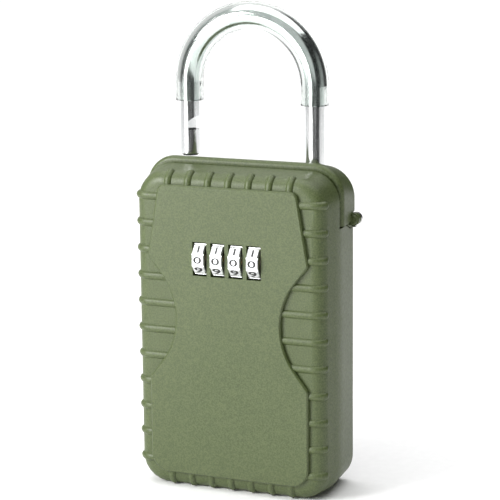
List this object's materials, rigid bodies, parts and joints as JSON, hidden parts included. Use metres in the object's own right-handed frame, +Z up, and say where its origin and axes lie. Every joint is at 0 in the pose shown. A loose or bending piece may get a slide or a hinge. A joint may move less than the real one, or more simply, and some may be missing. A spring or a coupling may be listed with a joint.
{
  "type": "key lock box",
  "caption": "Portable key lock box: ribbed olive case hung by a sleeved padlock shackle, opened with number dials, with a side-swinging lid over the key compartment.",
  "frame": {"origin": "middle of the flat base of the case, which stands on its lower end", "axes": "X to the viewer's right, Y from the dial front to the back, Z up along the shackle's legs"},
  "size_m": [0.08, 0.0353, 0.18],
  "materials": {
    "case_shell": "fine-grained satin olive green paint on die-cast zinc",
    "back_plate": "zinc-plated sheet steel",
    "back_pad": "matt black rubber sheet",
    "back_plate_screws": "zinc-plated steel",
    "chassis": "bare die-cast zinc, satin",
    "chassis_screws": "zinc-plated steel",
    "dial_frame": "stamped steel",
    "dial_axle": "polished steel",
    "axle_clips": "stamped steel",
    "dial_spacer": "polished steel",
    "detent_spring": "stamped steel",
    "detent_screws": "zinc-plated steel",
    "slider_rivets": "zinc-plated steel",
    "bolt_spring": "polished steel",
    "shackle_guide": "bare die-cast zinc, satin",
    "long_leg_tube": "bare die-cast zinc, satin",
    "guide_screws": "zinc-plated steel",
    "shackle_spring": "polished steel",
    "hinge_pin": "steel rivet, painted with the case",
    "lever_screw": "zinc-plated steel",
    "lid": "fine-grained satin olive green paint on die-cast zinc",
    "leg_bushes": "black nylon",
    "lid_gasket": "soft black rubber strip",
    "retaining_ring": "stamped steel",
    "shackle": "bright plated steel bar",
    "shackle_sleeve": "clear flexible vinyl tube",
    "bolt_slider": "stamped steel",
    "shackle_bolt": "stamped steel",
    "code_lever": "stamped steel",
    "dial_1": "satin nickel-plated zinc, black filled figures",
    "tumbler_1": "turned brass",
    "dial_2": "satin nickel-plated zinc, black filled figures",
    "tumbler_2": "turned brass",
    "dial_3": "satin nickel-plated zinc, black filled figures",
    "tumbler_3": "turned brass",
    "dial_4": "satin nickel-plated zinc, black filled figures",
    "tumbler_4": "turned brass"
  },
  "bodies": {
    "root": {"case_shell": "case_shell", "back_plate": "back_plate", "back_pad": "back_pad", "back_plate_screws": "back_plate_screws", "chassis": "chassis", "chassis_screws": "chassis_screws", "dial_frame": "dial_frame", "dial_axle": "dial_axle", "axle_clips": "axle_clips", "dial_spacer": "dial_spacer", "detent_spring": "detent_spring", "detent_screws": "detent_screws", "slider_rivets": "slider_rivets", "bolt_spring": "bolt_spring", "shackle_guide": "shackle_guide", "long_leg_tube": "long_leg_tube", "guide_screws": "guide_screws", "shackle_spring": "shackle_spring", "hinge_pin": "hinge_pin", "lever_screw": "lever_screw"},
    "lid": {"lid": "lid", "leg_bushes": "leg_bushes", "lid_gasket": "lid_gasket"},
    "shackle_ring": {"retaining_ring": "retaining_ring"},
    "shackle": {"shackle": "shackle", "shackle_sleeve": "shackle_sleeve"},
    "bolt": {"bolt_slider": "bolt_slider", "shackle_bolt": "shackle_bolt"},
    "code_lever": {"code_lever": "code_lever"},
    "dial_1": {"dial_1": "dial_1", "tumbler_1": "tumbler_1"},
    "dial_2": {"dial_2": "dial_2", "tumbler_2": "tumbler_2"},
    "dial_3": {"dial_3": "dial_3", "tumbler_3": "tumbler_3"},
    "dial_4": {"dial_4": "dial_4", "tumbler_4": "tumbler_4"}
  },
  "joints": [
    {"name": "lid_hinge", "type": "hinge", "parent": "root", "child": "lid", "pos_m": [0.0385, 0.0123, 0.101], "axis": [0, 1, 0], "range_deg": [0, 100]},
    {"name": "shackle_lift", "type": "slide", "parent": "lid", "child": "shackle_ring", "axis": [0, 0, 1], "range_m": [-0.0195, 0], "stiffness_N_per_m": 180, "springref_m": 0.011, "deforming": ["shackle_spring"]},
    {"name": "shackle_swivel", "type": "hinge", "parent": "shackle_ring", "child": "shackle", "pos_m": [0.025, 0.0075, 0.13], "axis": [0, 0, 1], "range_deg": [-180, 0]},
    {"name": "dial_1_turn", "type": "hinge", "parent": "root", "child": "dial_1", "pos_m": [-0.01073, -0.0124, 0.088], "axis": [1, 0, 0], "continuous": true},
    {"name": "dial_2_turn", "type": "hinge", "parent": "root", "child": "dial_2", "pos_m": [-0.00358, -0.0124, 0.088], "axis": [1, 0, 0], "continuous": true},
    {"name": "dial_3_turn", "type": "hinge", "parent": "root", "child": "dial_3", "pos_m": [0.00358, -0.0124, 0.088], "axis": [1, 0, 0], "continuous": true},
    {"name": "dial_4_turn", "type": "hinge", "parent": "root", "child": "dial_4", "pos_m": [0.01073, -0.0124, 0.088], "axis": [1, 0, 0], "continuous": true},
    {"name": "bolt_slide", "type": "slide", "parent": "root", "child": "bolt", "axis": [1, 0, 0], "range_m": [-0.0015, 0], "deforming": ["bolt_spring"]},
    {"name": "code_lever_turn", "type": "hinge", "parent": "root", "child": "code_lever", "pos_m": [0.002, 0.002, 0.109], "axis": [0, 1, 0], "range_deg": [0, 40]}
  ]
}
